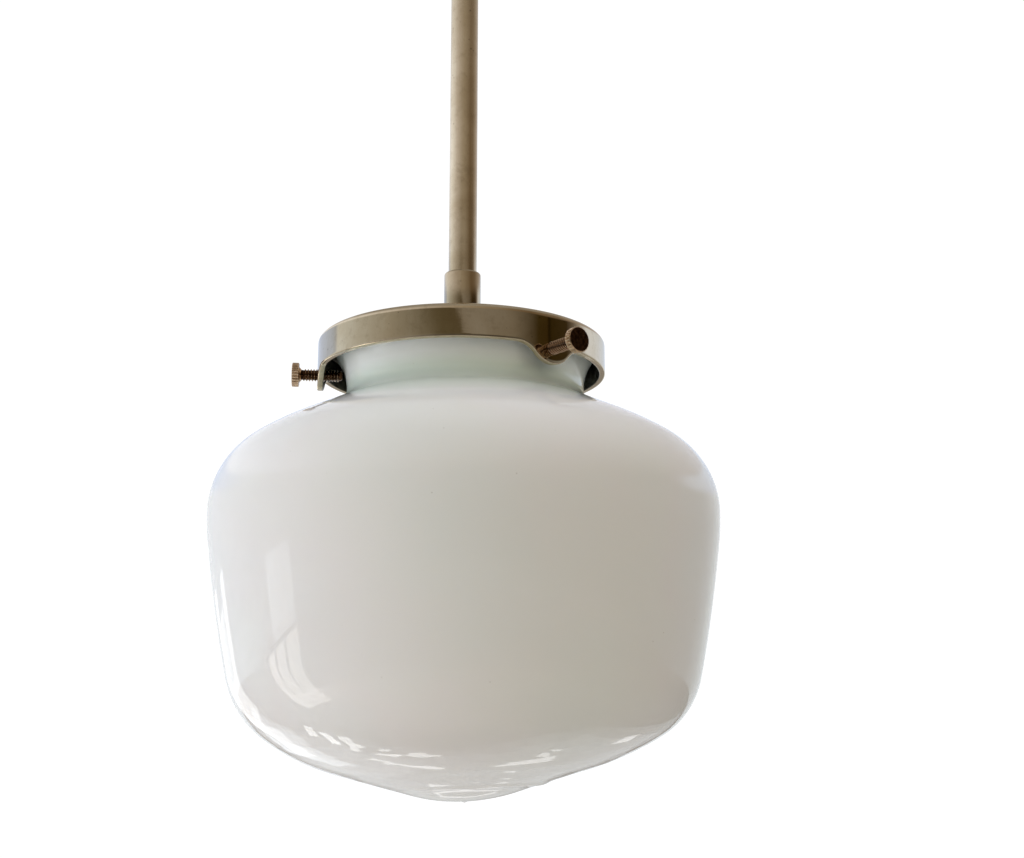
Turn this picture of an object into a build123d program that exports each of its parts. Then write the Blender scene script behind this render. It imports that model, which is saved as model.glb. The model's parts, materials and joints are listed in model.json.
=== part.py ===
from build123d import *
from math import atan2, cos, degrees, radians, sin, sqrt, tan
import os

# Schoolhouse pendant light, in millimetres, +Z up.
# The origin is the middle of the lamp on the ceiling plane, and everything hangs below it.
# The fitter is the cup that holds the glass. Heights that belong to the fitter or the glass
# are measured from the fitter's lower edge, which is what the photograph shows best.

# Running clearance of a shaft in its hole, the least gap between pieces that move apart,
# and how far a cut runs past what it cuts
running = 0.08
gap = 0.3
past = 1.0

# Ceiling bar: a joggled strap, two slots for the box screws and two tapped holes
bar_width = 22.0
bar_thickness = 2.5
bar_corner = 5.5
bar_drop = 9.0
bar_step_run = 7.0
bar_step_room = 2.0
bar_end = 4.05
box_spacing = 88.9
box_slot_width = 4.8
box_slot_length = 11.0

# Studs that carry the canopy
stud_spacing = 50.0
stud_radius = 2.0
stud_groove = 0.35
stud_pitch = 0.8
stud_above_bar = 1.5

# Canopy: a spun pan that covers the box in the ceiling
canopy_radius = 63.5
canopy_depth = 26.0
canopy_shoulder = 20.0
canopy_wall = 1.2

# Cap nuts that hold the canopy up
nut_radius = 5.5
nut_height = 9.0
nut_flange = 1.5
nut_flange_radius = 7.0
nut_engagement = 5.5
nut_room = 0.5

# Earth screw on the bar, halfway between a stud and the middle nut
earth_radius = 1.9
earth_groove = 0.3
earth_pitch = 0.7
earth_above_bar = 1.0
earth_head_radius = 4.2
earth_head_height = 2.2
earth_head_chamfer = 0.5

# Screwdriver slot of the small screws
slot_width = 0.8
slot_depth = 0.65

# Threads are drawn as ring grooves, with this share of each turn left flat on top
thread_flat = 0.3

# Stem and the collar at its foot
stem_radius = 5.4
stem_length = 304.8
collar_wall = 1.6
collar_edge = 0.8
collar_above_dome = 21.7
collar_socket = 9.0

# Threaded lamp tube, used for the swivel's nipple, the stem's ends and the fitter's nipple
thread_step = 0.6
thread_wall = 1.4
locknut_across = 15.0
locknut_height = 3.5
nipple_end = 1.0

# Swivel: a turning head with two cheeks, and a tongue that swings on a pin between them
head_radius = 11.0
head_web = 5.0
head_round = 1.0
flange_overhang = 2.0
flange_height = 2.5
tongue_thickness = 7.0
tongue_radius = 6.5
cheek_thickness = 3.4
cheek_below_pin = 6.0
pin_radius = 2.0
pin_head_radius = 3.6
pin_head_height = 1.2
pin_head_crown = 0.8
knuckle_radius = 7.8
knuckle_height = 15.0
knuckle_socket = 10.0
knuckle_neck = 9.0
knuckle_roof = 2.0
knuckle_round = 0.8

# Fitter: the cup with three ears
fitter_radius = 54.0
fitter_wall = 2.2
fitter_height = 12.3
fitter_edge = 3.0
dome_rise = 6.7
dome_flat = 14.0
ear_drop = 6.6
ear_radius = 9.5
ear_angles = (-86.0, 36.0, 154.0)
screw_below_edge = 0.9

# Thumbscrews
screw_radius = 2.35
screw_groove = 0.55
screw_pitch = 1.06
screw_length = 16.0
screw_neck = 1.0
screw_neck_flare = 0.6
screw_tip_chamfer = 0.45
knob_radius = 4.5
knob_height = 2.65
knob_crown = 0.35
knob_flutes = 22
flute_radius = 0.42
front_screw_backed_off = 2.4

# Glass globe, whose outline is a chain of tangent arcs and lines. Slopes are in degrees.
# Its lip stands this clear of the fitter, and its narrowest place this far below the edge.
lip_room = 3.4
glass_narrow = 6.0
glass_wall = 3.0
glass_radius = 93.35
tip_half_width = 19.0
cone_slope = 16.0
hip_radius = 85.0
hip_slope = 35.0
corner_radius = 34.0
low_side_slope = 78.0
side_radius = 550.0
high_side_slope = 83.0
belly_radius = 90.0
shoulder_radius = 31.0
shoulder_slope = 33.0
brow_radius = 106.0
brow_slope = 25.0
neck_fillet = 7.4
flare_radius = 20.0
flare_slope = 36.0
glass_aside = 1.4
glass_lean = 0.3

# Lamp holder
washer_inset = 1.0
washer_height = 1.2
cap_hub_radius = 7.5
cap_hub_inner = 6.0
cap_hub_above = 4.2
cap_hub_height = 7.0
cap_bevel = 5.0
cap_skirt = 3.1
cap_screw_radius = 1.5
cap_screw_out = 2.0
sheet = 0.7
shell_length = 37.0
shell_bead = 0.9
liner_wall = 0.8
liner_inset = 1.0
holder_room = 1.5
core_height = 11.0
core_floor = 2.0
core_clearance = 0.5
core_above_cap_rim = 1.5
recess_depth = 3.6
recess_width = 9.0
lamp_thread = 13.1
lamp_shell_wall = 0.5
lamp_shell_length = 22.0
contact_width = 4.0
contact_length = 10.0
contact_hole = 6.2
contact_thickness = 0.5
contact_rise = 2.2
contact_tip = 0.8
terminal_radius = 1.6
terminal_shank = 4.0
terminal_head_radius = 2.9
terminal_head_height = 1.5
terminal_head_crown = 0.45

# Bulb
bulb_radius = 30.0
bulb_neck_step = 0.5
bulb_length = 106.0
bulb_side_slope = 45.0
bulb_wall = 0.9
base_length = 24.0
base_wall = 0.4
base_taper = 5.0
base_chamfer = 1.0
base_shoulder = 2.2
base_button = 4.6
base_button_height = 1.6
base_button_rim = 0.8
base_groove = 0.55
base_pitch = 3.6
base_grooves = 4

# Leads inside the stem
lead_radius = 1.05
lead_gap = 0.5
lead_below_stem_top = 4.0
lead_past_nipple = 0.5
lead_standoff = 0.7
lead_bend_end = 0.4
lead_above_terminal = 0.2

# Sizes that follow from the ones above
bar_length = box_spacing + box_slot_length + 2 * bar_end
bar_step_half = stud_spacing / 2 + stud_radius + bar_step_room
locknut_corner = locknut_across / 2 / cos(radians(30))
earth_x = (locknut_corner + stud_spacing / 2 - stud_radius) / 2
thread_radius = stem_radius - thread_step
thread_bore = thread_radius - thread_wall
collar_radius = stem_radius + collar_wall
flange_radius = thread_radius + flange_overhang
screw_root = screw_radius - screw_groove
washer_radius = dome_flat - washer_inset
glass_neck = fitter_radius - fitter_wall - lip_room - flare_radius * (1 - cos(radians(flare_slope)))
cap_height = cap_hub_above + sheet + cap_bevel + cap_skirt
liner_inner = lamp_thread + running + lamp_shell_wall + holder_room
liner_outer = liner_inner + liner_wall
shell_outer = liner_outer + sheet
cap_radius = shell_outer + sheet
core_radius = liner_inner - core_clearance
core_waist = liner_inner - recess_depth
bulb_neck = lamp_thread + bulb_neck_step
lead_aside = lead_radius + lead_gap / 2

# Heights, worked down from the ceiling
canopy_bottom = -canopy_depth
bar_top = -bar_drop
bar_bottom = bar_top - bar_thickness
head_top = canopy_bottom - gap
flange_top = head_top - head_web - gap
flange_bottom = flange_top - flange_height
cheek_top = flange_bottom - gap
pivot = cheek_top - tongue_radius
knuckle_top = pivot - knuckle_neck
knuckle_bottom = knuckle_top - knuckle_height
stem_top = knuckle_bottom + knuckle_socket
stem_bottom = stem_top - stem_length
collar_top = stem_bottom + collar_socket
dome_top = collar_top - collar_above_dome
edge = dome_top - dome_rise - fitter_height
dome_under = dome_top - fitter_wall
screw_height = edge - screw_below_edge
washer_bottom = dome_under - washer_height
cap_top = washer_bottom - locknut_height
cap_roof = cap_top - cap_hub_above
cap_hub_bottom = cap_top - cap_hub_height
cap_bottom = cap_top - cap_height
nipple_bottom = cap_hub_bottom + nipple_end
core_top = cap_bottom + core_above_cap_rim
core_bottom = core_top - core_height
terminal_height = (core_top + core_bottom) / 2
shell_top = cap_bottom + cap_skirt - gap
shell_bottom = shell_top - shell_length
base_top = core_bottom - contact_rise - gap

standing = (Align.CENTER, Align.CENTER, Align.MIN)


def turned(points):
    """A solid of revolution about Z from corners given as radius and height."""
    return revolve(Plane.XZ * make_face(Polyline(*points, close=True)), Axis.Z)


def tube(outer, inner, bottom, top):
    return turned([(inner, bottom), (outer, bottom), (outer, top), (inner, top)])


def rod(radius, bottom, top):
    return Pos(0, 0, bottom) * Cylinder(radius, top - bottom, align=standing)


def lying(radius, length, height, y=0.0):
    """A cylinder along Y."""
    return Pos(0, y, height) * Rot(90, 0, 0) * Cylinder(radius, length)


def driver_slot(radius):
    """What a screwdriver slot takes out of the end of a head."""
    return Box(2 * radius, slot_width, 2 * slot_depth)


def hex_nut(across, bore, bottom, top):
    """A hexagon nut whose corners are turned off at both ends."""
    prism = Pos(0, 0, bottom) * extrude(RegularPolygon(across / 2, 6, major_radius=False), top - bottom)
    flat = across / 2
    corner = flat / cos(radians(30))
    drop = (corner - flat) * tan(radians(30))
    rounded = turned([
        (bore, bottom), (flat, bottom), (corner, bottom + drop),
        (corner, top - drop), (flat, top), (bore, top),
    ])
    return prism & rounded


def threaded(radius, groove, pitch, bottom, top):
    """A rod with ring grooves of a thread's depth and pitch, its turns fitted to its length."""
    turns = max(1, round((top - bottom) / pitch))
    step = (top - bottom) / turns
    root = radius - groove
    outline = [(0, bottom), (root, bottom)]
    for turn in range(turns):
        middle = bottom + step * (turn + 0.5)
        outline.append((radius, middle - step * thread_flat / 2))
        outline.append((radius, middle + step * thread_flat / 2))
        outline.append((root, middle + step / 2))
    outline.append((0, top))
    return turned(outline)


def around(angle, radius, height):
    """A place on the fitter's circle, facing outwards. Angles run from -Y, the near side, towards +X."""
    turn = radians(angle)
    return Pos(radius * sin(turn), -radius * cos(turn), height) * Rot(0, 0, angle - 90)


# Ceiling bar and canopy
def ceiling_bar():
    half = bar_length / 2
    foot = bar_step_half + bar_step_run
    top = [(-half, 0), (-foot, 0), (-bar_step_half, bar_top), (bar_step_half, bar_top), (foot, 0), (half, 0)]
    under = [(x, z - bar_thickness) for x, z in reversed(top)]
    bar = extrude(Plane.XZ * make_face(Polyline(*top, *under, close=True)), bar_width / 2, both=True)
    bar = fillet(bar.edges().filter_by(Axis.Z), bar_corner)
    for side in (-1, 1):
        slot = SlotCenterToCenter(box_slot_length - box_slot_width, box_slot_width)
        bar -= Pos(side * box_spacing / 2, 0, 0) * extrude(slot, bar_drop, both=True)
        bar -= Pos(side * stud_spacing / 2, 0, 0) * rod(stud_radius, canopy_bottom, 0)
    bar -= rod(thread_radius, canopy_bottom, 0)
    bar -= Pos(earth_x, 0, 0) * rod(earth_radius, canopy_bottom, 0)
    return bar


def canopy_line(inset):
    """The canopy's bend from its side to its flat middle, moved inwards by inset: start, middle and end."""
    out = canopy_radius - inset
    turn = canopy_shoulder - inset
    low = canopy_bottom + inset
    bend = turn * (1 - cos(radians(45)))
    return (out, canopy_bottom + canopy_shoulder), (out - bend, low + bend), (out - turn, low)


def canopy():
    outside = canopy_line(0)
    inside = canopy_line(canopy_wall)
    rim_out, rim_in = outside[0][0], inside[0][0]
    low, low_in = outside[2][1], inside[2][1]
    hole = thread_radius + running
    outline = [
        Line((rim_in, 0), (rim_out, 0)),
        Line((rim_out, 0), outside[0]),
        ThreePointArc(*outside),
        Line(outside[2], (hole, low)),
        Line((hole, low), (hole, low_in)),
        Line((hole, low_in), inside[2]),
        ThreePointArc(*inside),
        Line(inside[0], (rim_in, 0)),
    ]
    pan = revolve(Plane.XZ * make_face(outline), Axis.Z)
    for side in (-1, 1):
        pan -= Pos(side * stud_spacing / 2, 0, 0) * rod(stud_radius + gap, canopy_bottom - past, bar_bottom)
    return pan


def canopy_studs():
    low = canopy_bottom - nut_engagement
    stud = threaded(stud_radius, stud_groove, stud_pitch, low, bar_bottom)
    stud += rod(stud_radius, bar_bottom, bar_top + stud_above_bar)
    return Compound([Pos(side * stud_spacing / 2, 0, 0) * stud for side in (-1, 1)])


def canopy_nut(side):
    """A domed cap nut, its flange against the canopy."""
    top = canopy_bottom - gap
    low = top - nut_height
    waist = top - nut_flange
    knee = low + nut_radius
    dome = nut_radius * cos(radians(45))
    bore = stud_radius + running
    bore_end = top - nut_engagement - nut_room
    outline = [
        Line((bore, top), (nut_flange_radius, top)),
        Line((nut_flange_radius, top), (nut_flange_radius, waist)),
        Line((nut_flange_radius, waist), (nut_radius, waist)),
        Line((nut_radius, waist), (nut_radius, knee)),
        ThreePointArc((nut_radius, knee), (dome, knee - dome), (0, low)),
        Line((0, low), (0, bore_end)),
        Line((0, bore_end), (bore, bore_end)),
        Line((bore, bore_end), (bore, top)),
    ]
    return Pos(side * stud_spacing / 2, 0, 0) * revolve(Plane.XZ * make_face(outline), Axis.Z)


def earth_screw():
    head_low = bar_bottom - earth_head_height
    head = rod(earth_head_radius, head_low, bar_bottom)
    head = chamfer(head.edges().sort_by(Axis.Z)[0], earth_head_chamfer)
    head -= Pos(0, 0, head_low) * driver_slot(earth_head_radius)
    shank = threaded(earth_radius, earth_groove, earth_pitch, bar_bottom, bar_top + earth_above_bar)
    return Pos(earth_x, 0, 0) * (head + shank)


# Swivel
def swivel_nipple():
    """The fixed tube that comes down through the bar and the canopy and ends in a flange."""
    top = bar_top + locknut_height + nipple_end
    return turned([
        (thread_bore, top), (thread_radius, top), (thread_radius, flange_top),
        (flange_radius, flange_top), (flange_radius, flange_bottom), (thread_bore, flange_bottom),
    ])


def bar_locknuts():
    above = hex_nut(locknut_across, thread_radius, bar_top, bar_top + locknut_height)
    below = hex_nut(locknut_across, thread_radius, bar_bottom - locknut_height, bar_bottom)
    return Compound([above, below])


def swivel_head():
    """The turning head, hung on the nipple's flange, with a cheek each side of the tongue."""
    slot_half = tongue_thickness / 2 + gap
    head = rod(head_radius, cheek_top, head_top)
    head = fillet(head.edges().sort_by(Axis.Z)[-1], head_round)
    head -= rod(thread_radius + running, flange_top, head_top + past)
    head -= rod(flange_radius + gap, cheek_top - past, flange_top + gap)
    for side in (-1, 1):
        middle = side * (slot_half + cheek_thickness / 2)
        cheek = Box(2 * cheek_below_pin, cheek_thickness, cheek_top - pivot, align=standing)
        head += Pos(0, middle, pivot) * cheek + lying(cheek_below_pin, cheek_thickness, pivot, middle)
    return head - lying(pin_radius, 2 * (slot_half + cheek_thickness + past), pivot)


def swivel_pin():
    """A rivet through both cheeks, its ends upset against them."""
    half = tongue_thickness / 2 + gap + cheek_thickness
    end = half + pin_head_height
    waist = end - pin_head_crown
    crown = pin_head_radius - pin_head_crown
    pin = turned([
        (0, -end), (crown, -end), (pin_head_radius, -waist), (pin_head_radius, -half), (pin_radius, -half),
        (pin_radius, half), (pin_head_radius, half), (pin_head_radius, waist), (crown, end), (0, end),
    ])
    return Pos(0, 0, pivot) * Rot(90, 0, 0) * pin


def swivel_tongue():
    """The swinging half: a tongue on the pin and a barrel that takes the stem."""
    tongue = lying(tongue_radius, tongue_thickness, pivot)
    shank = Box(2 * tongue_radius, tongue_thickness, knuckle_neck, align=standing)
    tongue += Pos(0, 0, knuckle_top) * shank
    barrel = rod(knuckle_radius, knuckle_bottom, knuckle_top)
    tongue += fillet(barrel.edges().filter_by(GeomType.CIRCLE), knuckle_round)
    tongue -= rod(thread_radius, knuckle_bottom - past, stem_top)
    tongue -= rod(thread_bore, knuckle_bottom, knuckle_top - knuckle_roof)
    return tongue - lying(pin_radius + running, tongue_thickness + past, pivot)


# Stem and collar
def stem():
    return turned([
        (thread_bore, stem_bottom), (stem_radius, stem_bottom), (stem_radius, knuckle_bottom),
        (thread_radius, knuckle_bottom), (thread_radius, stem_top), (thread_bore, stem_top),
    ])


def collar():
    """The coupling: the stem's foot sits in its top, the fitter's nipple screws into its bottom."""
    body = turned([
        (thread_radius, dome_top), (collar_radius, dome_top), (collar_radius, collar_top),
        (stem_radius, collar_top), (stem_radius, stem_bottom), (thread_radius, stem_bottom),
    ])
    rim = body.edges().filter_by(GeomType.CIRCLE).group_by(Axis.Z)[-1].sort_by(SortBy.RADIUS)[-1]
    return fillet(rim, collar_edge)


# Fitter
def ear_outline():
    """An ear seen square on: a round tip run into the edge by two hollows of the same radius."""
    tip = ear_radius - ear_drop
    reach = sqrt((2 * ear_radius) ** 2 - (ear_radius + tip) ** 2)
    half = atan2(reach, ear_radius + tip) / 2
    join_x = reach / 2
    join_z = (tip - ear_radius) / 2
    hollow_x = reach - ear_radius * sin(half)
    hollow_z = -ear_radius + ear_radius * cos(half)
    left = ThreePointArc((-reach, 0), (-hollow_x, hollow_z), (-join_x, join_z))
    base = ThreePointArc((-join_x, join_z), (0, -ear_drop), (join_x, join_z))
    right = ThreePointArc((join_x, join_z), (hollow_x, hollow_z), (reach, 0))
    top = Polyline((reach, 0), (reach, fitter_height / 2), (-reach, fitter_height / 2), (-reach, 0))
    return make_face([left, base, right, *top.edges()])


def fitter():
    top = edge + fitter_height
    knee = top - fitter_edge
    bend = fitter_edge * (1 - cos(radians(45)))
    dome_foot = fitter_radius - fitter_edge
    inner = fitter_radius - fitter_wall
    inner_edge = fitter_edge - fitter_wall
    inner_bend = inner_edge * (1 - cos(radians(45)))
    under = top - fitter_wall
    outline = [
        Line((inner, edge), (fitter_radius, edge)),
        Line((fitter_radius, edge), (fitter_radius, knee)),
        ThreePointArc((fitter_radius, knee), (fitter_radius - bend, top - bend), (dome_foot, top)),
        Spline((dome_foot, top), (dome_flat, dome_top), tangents=((-1, 0), (-1, 0))),
        Line((dome_flat, dome_top), (thread_radius, dome_top)),
        Line((thread_radius, dome_top), (thread_radius, dome_under)),
        Line((thread_radius, dome_under), (dome_flat, dome_under)),
        Spline((dome_flat, dome_under), (dome_foot, under), tangents=((1, 0), (1, 0))),
        ThreePointArc((dome_foot, under), (inner - inner_bend, under - inner_bend), (inner, knee)),
        Line((inner, knee), (inner, edge)),
    ]
    cup = revolve(Plane.XZ * make_face(outline), Axis.Z)
    skirt = tube(fitter_radius, inner, edge - ear_drop, knee)
    for angle in ear_angles:
        place = around(angle, fitter_radius, edge) * Rot(90, 0, 90)
        cup += skirt & (place * extrude(ear_outline(), ear_radius, both=True))
    for angle in ear_angles:
        hole = Rot(0, 90, 0) * Cylinder(screw_radius + running, 4 * fitter_wall)
        cup -= around(angle, fitter_radius, screw_height) * hole
    return cup


# Glass
def travel(steps, point, heading, inset=0.0):
    """Follow arcs and lines from a point. A step is (radius, turn) for an arc, with the turn in degrees
    and positive to the left, or (length, 0) for a line. Returns the edges, the end and its heading."""
    edges = []
    x, z = point
    for size, turn in steps:
        if turn == 0:
            end = (x + size * cos(radians(heading)), z + size * sin(radians(heading)))
            edges.append(Line((x, z), end))
        else:
            side = 1 if turn > 0 else -1
            radius = size - side * inset
            centre_x = x - side * radius * sin(radians(heading))
            centre_z = z + side * radius * cos(radians(heading))

            def at(angle):
                return (
                    centre_x + side * radius * sin(radians(heading + angle)),
                    centre_z - side * radius * cos(radians(heading + angle)),
                )

            end = at(turn)
            edges.append(ThreePointArc((x, z), at(turn / 2), end))
        x, z = end
        heading += turn
    return edges, end, heading


def glass_steps():
    """The glass from its lowest point out to its widest place and up to the lip."""
    tip = (tip_half_width / sin(radians(cone_slope)), cone_slope)
    lower = [
        (hip_radius, hip_slope - cone_slope),
        (corner_radius, low_side_slope - hip_slope),
        (side_radius, high_side_slope - low_side_slope),
        (belly_radius, 90 - high_side_slope),
    ]
    upper = [
        (shoulder_radius, 90 - shoulder_slope),
        (brow_radius, shoulder_slope - brow_slope),
    ]
    neck_turn = 90 - brow_slope
    _, tip_end, _ = travel([tip], (0, 0), 0)
    _, lower_end, _ = travel(lower, (0, 0), cone_slope)
    cone = (glass_radius - lower_end[0] - tip_end[0]) / cos(radians(cone_slope))
    _, brow_end, _ = travel(upper, (glass_radius, 0), 90)
    fillet_reach = neck_fillet * (1 - cos(radians(neck_turn)))
    roof = (brow_end[0] - glass_neck - fillet_reach) / cos(radians(brow_slope))
    neck = [(roof, 0), (neck_fillet, -neck_turn), (flare_radius, -flare_slope)]
    return [tip, (cone, 0), *lower, *upper, *neck]


def globe():
    steps = glass_steps()
    _, narrow, _ = travel(steps[:-1], (0, 0), 0)
    lowest = -glass_narrow - narrow[1]
    outer, lip_out, heading = travel(steps, (0, lowest), 0)
    inner, lip_in, _ = travel(steps, (0, lowest + glass_wall), 0, glass_wall)
    crest = (
        (lip_out[0] + lip_in[0] + glass_wall * cos(radians(heading))) / 2,
        (lip_out[1] + lip_in[1] + glass_wall * sin(radians(heading))) / 2,
    )
    lip = ThreePointArc(lip_out, crest, lip_in)
    outline = [*outer, lip, *inner, Line((0, lowest), (0, lowest + glass_wall))]
    glass = revolve(Plane.XZ * make_face(outline), Axis.Z)
    return Pos(glass_aside, 0, edge) * Rot(0, -glass_lean, 0) * glass


# Thumbscrews
def tip_reach(angle):
    """How far from the middle a screw's tip stands when it all but touches the glass."""
    rise = screw_radius - screw_tip_chamfer - screw_below_edge + glass_narrow
    surface = glass_neck + flare_radius - sqrt(flare_radius ** 2 - rise ** 2)
    return surface + glass_aside * sin(radians(angle)) + gap


def thumbscrew(angle, backed_off=0.0):
    """A knurled thumbscrew lying along the fitter's radius, its tip towards the glass."""
    thread_top = screw_length - screw_neck
    face = screw_length + knob_height
    rim = knob_radius - knob_crown
    screw = threaded(screw_radius, screw_groove, screw_pitch, screw_tip_chamfer, thread_top)
    screw += turned([
        (0, 0), (screw_root - screw_tip_chamfer, 0), (screw_root, screw_tip_chamfer), (0, screw_tip_chamfer),
    ])
    screw += turned([
        (0, thread_top), (screw_root, thread_top), (screw_radius, screw_length - screw_neck_flare),
        (screw_radius + screw_neck_flare, screw_length), (0, screw_length),
    ])
    knob = turned([
        (0, screw_length), (rim, screw_length), (knob_radius, screw_length + knob_height / 3),
        (knob_radius, face - knob_height / 3), (rim, face), (0, face),
    ])
    flute = rod(flute_radius, screw_length - past, face + past)
    for turn in range(knob_flutes):
        knob -= Rot(0, 0, 360 / knob_flutes * turn) * Pos(knob_radius, 0, 0) * flute
    screw += knob
    return around(angle, tip_reach(angle) + backed_off, screw_height) * Rot(0, 90, 0) * screw


# Fitter's nipple, washer and nut
def fitter_nipple():
    return tube(thread_radius, thread_bore, nipple_bottom, stem_bottom)


def fitter_washer():
    return tube(washer_radius, thread_radius, washer_bottom, dome_under)


def fitter_locknut():
    return hex_nut(locknut_across, thread_radius, cap_top, washer_bottom)


# Lamp holder
def holder_cap():
    """A spun cap with a threaded hub on top, its skirt outside the shell."""
    roof_in = cap_roof - sheet
    knee = roof_in - cap_bevel
    cap = turned([
        (thread_radius, cap_hub_bottom), (cap_hub_inner, cap_hub_bottom), (cap_hub_inner, roof_in),
        (shell_outer - cap_bevel, roof_in), (shell_outer, knee), (shell_outer, cap_bottom),
        (cap_radius, cap_bottom), (cap_radius, knee + sheet / 2),
        (cap_radius - cap_bevel - sheet / 2, cap_roof), (cap_hub_radius, cap_roof),
        (cap_hub_radius, cap_top), (thread_radius, cap_top),
    ])
    return cap - cap_screw()


def cap_screw():
    """The small screw that locks the hub to the nipple."""
    length = cap_hub_radius - thread_radius + cap_screw_out
    screw = Cylinder(cap_screw_radius, length, align=standing)
    screw -= Pos(0, 0, length) * driver_slot(cap_screw_radius)
    return Pos(0, thread_radius, (cap_top + cap_roof) / 2) * Rot(-90, 0, 0) * screw


def holder_shell():
    shell = tube(shell_outer, liner_outer, shell_bottom, shell_top)
    bead = Pos(0, 0, shell_bottom + shell_bead / 2) * Torus(shell_outer, shell_bead / 2)
    outside = tube(shell_outer + shell_bead, shell_outer, shell_bottom, shell_bottom + shell_bead)
    return shell + (bead & outside)


def holder_liner():
    return tube(liner_outer, liner_inner, shell_bottom + liner_inset, shell_top - liner_inset)


def holder_core():
    """The ceramic block, with a recess each side for a terminal and a hole for the terminal's shank."""
    core = rod(core_radius, core_bottom, core_top)
    depth = core_radius - core_waist
    for side in (-1, 1):
        recess = Box(2 * depth, recess_width, 2 * (core_height - core_floor))
        hole = Rot(0, 90, 0) * Cylinder(terminal_radius, 2 * terminal_shank)
        core -= Pos(side * (core_waist + depth), 0, core_top) * recess
        core -= Pos(side * core_waist, 0, terminal_height) * hole
    return core


def terminal(side):
    """A slotted screw lying across the holder."""
    rim = terminal_head_radius - terminal_head_crown
    waist = terminal_head_height - terminal_head_crown
    head = turned([
        (0, 0), (terminal_head_radius, 0), (terminal_head_radius, waist),
        (rim, terminal_head_height), (0, terminal_head_height),
    ])
    head -= Pos(0, 0, terminal_head_height) * driver_slot(terminal_head_radius)
    screw = head + rod(terminal_radius, -terminal_shank, 0)
    return Pos(side * core_waist, 0, terminal_height) * Rot(0, 90 * side, 0) * screw


def lamp_shell():
    """The threaded shell the bulb screws into, with a floor round the centre contact."""
    inner = lamp_thread + running
    outer = inner + lamp_shell_wall
    floor = core_bottom - lamp_shell_wall
    low = core_bottom - lamp_shell_length
    return turned([
        (inner, low), (outer, low), (outer, core_bottom), (contact_hole, core_bottom),
        (contact_hole, floor), (inner, floor),
    ])


def centre_contact():
    """A bent spring strip under the core."""
    half = contact_length / 2
    drop = contact_rise - contact_thickness
    upper = [(-half, 0), (-half / 2, 0), (half / 4, -drop), (half / 2, -drop), (half, contact_tip - drop)]
    lower = [(x, z - contact_thickness) for x, z in reversed(upper)]
    side = Plane.XZ * make_face(Polyline(*upper, *lower, close=True))
    return Pos(0, 0, core_bottom) * extrude(side, contact_width / 2, both=True)


# Bulb
def bulb_contact():
    button = rod(base_button, base_top - base_button_height, base_top)
    return chamfer(button.edges().group_by(Axis.Z)[-1], base_button_height / 2)


def bulb_insulator():
    top = base_top - base_button_height
    low = base_top - base_taper
    foot = lamp_thread - base_shoulder
    return turned([(0, low), (foot, low), (base_button + base_button_rim, top), (0, top)])


def bulb_base():
    """The threaded cap of the bulb, drawn with ring grooves."""
    top = base_top - base_taper
    low = base_top - base_length
    inner = lamp_thread - base_wall - base_groove
    start = (low + top - base_grooves * base_pitch) / 2
    outline = [(inner, low), (lamp_thread, low)]
    for turn in range(base_grooves):
        outline.append((lamp_thread, start + base_pitch * turn))
        outline.append((lamp_thread - base_groove, start + base_pitch * (turn + 0.5)))
    outline.append((lamp_thread, start + base_pitch * base_grooves))
    outline.append((lamp_thread, top - base_chamfer))
    outline.append((lamp_thread - base_chamfer, top))
    outline.append((inner, top))
    floor = tube(inner, lamp_thread - base_shoulder, top - base_wall, top)
    return turned(outline) + floor


def bulb_line(inset):
    """The bulb moved inwards by inset: its neck, and the round part's start, side and lowest point."""
    centre = base_top - bulb_length + bulb_radius
    radius = bulb_radius - inset
    slope = radians(bulb_side_slope)
    neck = (bulb_neck - inset, base_top - base_length)
    start = (radius * cos(slope), centre + radius * sin(slope))
    side = (radius * cos(slope / 2), centre - radius * sin(slope / 2))
    return neck, start, side, (0, centre - radius)


def bulb_glass():
    slope = radians(bulb_side_slope)
    outline = []
    ends = []
    for inset in (0, bulb_wall):
        neck, start, side, low = bulb_line(inset)
        outline.append(Spline(neck, start, tangents=((0, -1), (sin(slope), -cos(slope)))))
        outline.append(ThreePointArc(start, side, low))
        ends.append((neck, low))
    outline.append(Line(ends[0][0], ends[1][0]))
    outline.append(Line(ends[0][1], ends[1][1]))
    return revolve(Plane.XZ * make_face(outline), Axis.Z)


# Leads
def lead(side):
    """An insulated lead from the stem's top to the terminal on one side of the core."""
    inside = side * lead_aside
    outside = side * (core_waist + lead_radius + lead_standoff)
    top = stem_top - lead_below_stem_top
    turn = nipple_bottom - lead_past_nipple
    bend_end = core_top - lead_bend_end
    low = terminal_height + terminal_head_radius + lead_above_terminal
    down = (0, 0, -1)
    path = Wire([
        Line((inside, 0, top), (inside, 0, turn)),
        Spline((inside, 0, turn), (outside, 0, bend_end), tangents=(down, down)),
        Line((outside, 0, bend_end), (outside, 0, low)),
    ])
    return sweep(Plane(origin=(inside, 0, top), z_dir=down) * Circle(lead_radius), path=path)


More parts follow.
